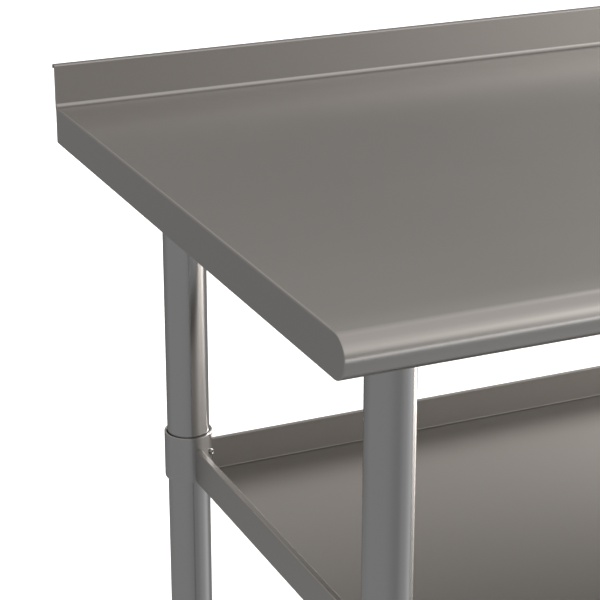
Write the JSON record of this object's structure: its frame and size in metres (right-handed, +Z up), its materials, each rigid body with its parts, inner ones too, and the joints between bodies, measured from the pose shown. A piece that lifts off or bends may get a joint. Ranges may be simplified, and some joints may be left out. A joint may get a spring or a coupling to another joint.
{
  "type": "stainless work table",
  "caption": "Stainless work table with a rolled front edge, low rear backsplash, tube legs on levelling feet, and a tray shelf whose corner collars slide on the legs.",
  "frame": {"origin": "on the floor, under the middle of the table's overall box", "axes": "+X along the table's length to the right, +Y back towards the wall, +Z up; the rolled edge faces -Y"},
  "size_m": [1.2192, 0.6096, 0.9144],
  "materials": {
    "worktop_sheet": "satin stainless sheet, fine lengthwise grain, warm grey",
    "shelf_sheet": "satin stainless sheet, fine lengthwise grain, warm grey",
    "leg_tube": "polished-seam stainless tube, satin",
    "collar_steel": "satin stainless sleeve, welded to the tray",
    "bright_screw": "bright plated set screw",
    "galvanised_steel": "galvanised steel with faint spangle",
    "socket_steel": "satin pressed steel",
    "zinc_plate": "bright zinc plate",
    "blackened_screw": "black oxide",
    "insert_zinc": "plain cast insert",
    "stem_steel": "zinc-plated threaded rod",
    "foot_steel": "satin stainless, turned",
    "pad_nylon": "moulded grey nylon"
  },
  "bodies": {
    "table": {"worktop": "worktop_sheet", "cross_channel_left": "galvanised_steel", "cross_channel_right": "galvanised_steel", "long_channel": "galvanised_steel", "channel_studs": "zinc_plate", "channel_nuts": "zinc_plate", "leg_socket_front_left": "socket_steel", "leg_socket_front_right": "socket_steel", "leg_socket_rear_left": "socket_steel", "leg_socket_rear_right": "socket_steel", "socket_bolts": "zinc_plate", "socket_nuts": "zinc_plate", "socket_set_screws": "blackened_screw", "leg_front_left": "leg_tube", "leg_front_right": "leg_tube", "leg_rear_left": "leg_tube", "leg_rear_right": "leg_tube", "leg_insert_front_left": "insert_zinc", "leg_insert_front_right": "insert_zinc", "leg_insert_rear_left": "insert_zinc", "leg_insert_rear_right": "insert_zinc"},
    "undershelf": {"undershelf_tray": "shelf_sheet", "shelf_channel": "galvanised_steel", "shelf_collar_front_left": "collar_steel", "shelf_collar_front_right": "collar_steel", "shelf_collar_rear_left": "collar_steel", "shelf_collar_rear_right": "collar_steel"},
    "set_screw_front_left": {"collar_screw_front_left": "bright_screw"},
    "set_screw_front_right": {"collar_screw_front_right": "bright_screw"},
    "set_screw_rear_left": {"collar_screw_rear_left": "bright_screw"},
    "set_screw_rear_right": {"collar_screw_rear_right": "bright_screw"},
    "glide_front_left": {"glide_pad_front_left": "pad_nylon"},
    "foot_front_left": {"foot_stem_front_left": "stem_steel", "foot_front_left": "foot_steel"},
    "glide_front_right": {"glide_pad_front_right": "pad_nylon"},
    "foot_front_right": {"foot_stem_front_right": "stem_steel", "foot_front_right": "foot_steel"},
    "glide_rear_left": {"glide_pad_rear_left": "pad_nylon"},
    "foot_rear_left": {"foot_stem_rear_left": "stem_steel", "foot_rear_left": "foot_steel"},
    "glide_rear_right": {"glide_pad_rear_right": "pad_nylon"},
    "foot_rear_right": {"foot_stem_rear_right": "stem_steel", "foot_rear_right": "foot_steel"}
  },
  "joints": [
    {"name": "shelf_height", "type": "slide", "parent": "table", "child": "undershelf", "axis": [0, 0, 1], "range_m": [-0.45, 0.22]},
    {"name": "set_screw_front_left", "type": "slide", "parent": "undershelf", "child": "set_screw_front_left", "axis": [0.7071, 0.7071, 0], "range_m": [0, 0.0015]},
    {"name": "set_screw_front_right", "type": "slide", "parent": "undershelf", "child": "set_screw_front_right", "axis": [-0.7071, 0.7071, 0], "range_m": [0, 0.0015]},
    {"name": "set_screw_rear_left", "type": "slide", "parent": "undershelf", "child": "set_screw_rear_left", "axis": [0.7071, -0.7071, 0], "range_m": [0, 0.0015]},
    {"name": "set_screw_rear_right", "type": "slide", "parent": "undershelf", "child": "set_screw_rear_right", "axis": [-0.7071, -0.7071, 0], "range_m": [0, 0.0015]},
    {"name": "foot_height_front_left", "type": "slide", "parent": "table", "child": "glide_front_left", "axis": [0, 0, 1], "range_m": [-0.0158, 0.0071]},
    {"name": "foot_turn_front_left", "type": "hinge", "parent": "glide_front_left", "child": "foot_front_left", "pos_m": [-0.5313, -0.2156, 0.02], "axis": [0, 0, 1], "range_deg": [-3254, 1464]},
    {"name": "foot_height_front_right", "type": "slide", "parent": "table", "child": "glide_front_right", "axis": [0, 0, 1], "range_m": [-0.0158, 0.0071]},
    {"name": "foot_turn_front_right", "type": "hinge", "parent": "glide_front_right", "child": "foot_front_right", "pos_m": [0.5313, -0.2156, 0.02], "axis": [0, 0, 1], "range_deg": [-3254, 1464]},
    {"name": "foot_height_rear_left", "type": "slide", "parent": "table", "child": "glide_rear_left", "axis": [0, 0, 1], "range_m": [-0.0158, 0.0071]},
    {"name": "foot_turn_rear_left", "type": "hinge", "parent": "glide_rear_left", "child": "foot_rear_left", "pos_m": [-0.5313, 0.1899, 0.02], "axis": [0, 0, 1], "range_deg": [-3254, 1464]},
    {"name": "foot_height_rear_right", "type": "slide", "parent": "table", "child": "glide_rear_right", "axis": [0, 0, 1], "range_m": [-0.0158, 0.0071]},
    {"name": "foot_turn_rear_right", "type": "hinge", "parent": "glide_rear_right", "child": "foot_rear_right", "pos_m": [0.5313, 0.1899, 0.02], "axis": [0, 0, 1], "range_deg": [-3254, 1464]}
  ],
  "couplings": [
    {"joint": "foot_turn_front_left", "follows": "foot_height_front_left", "rad_per_m": 3590.4},
    {"joint": "foot_turn_front_right", "follows": "foot_height_front_right", "rad_per_m": 3590.4},
    {"joint": "foot_turn_rear_left", "follows": "foot_height_rear_left", "rad_per_m": 3590.4},
    {"joint": "foot_turn_rear_right", "follows": "foot_height_rear_right", "rad_per_m": 3590.4}
  ]
}
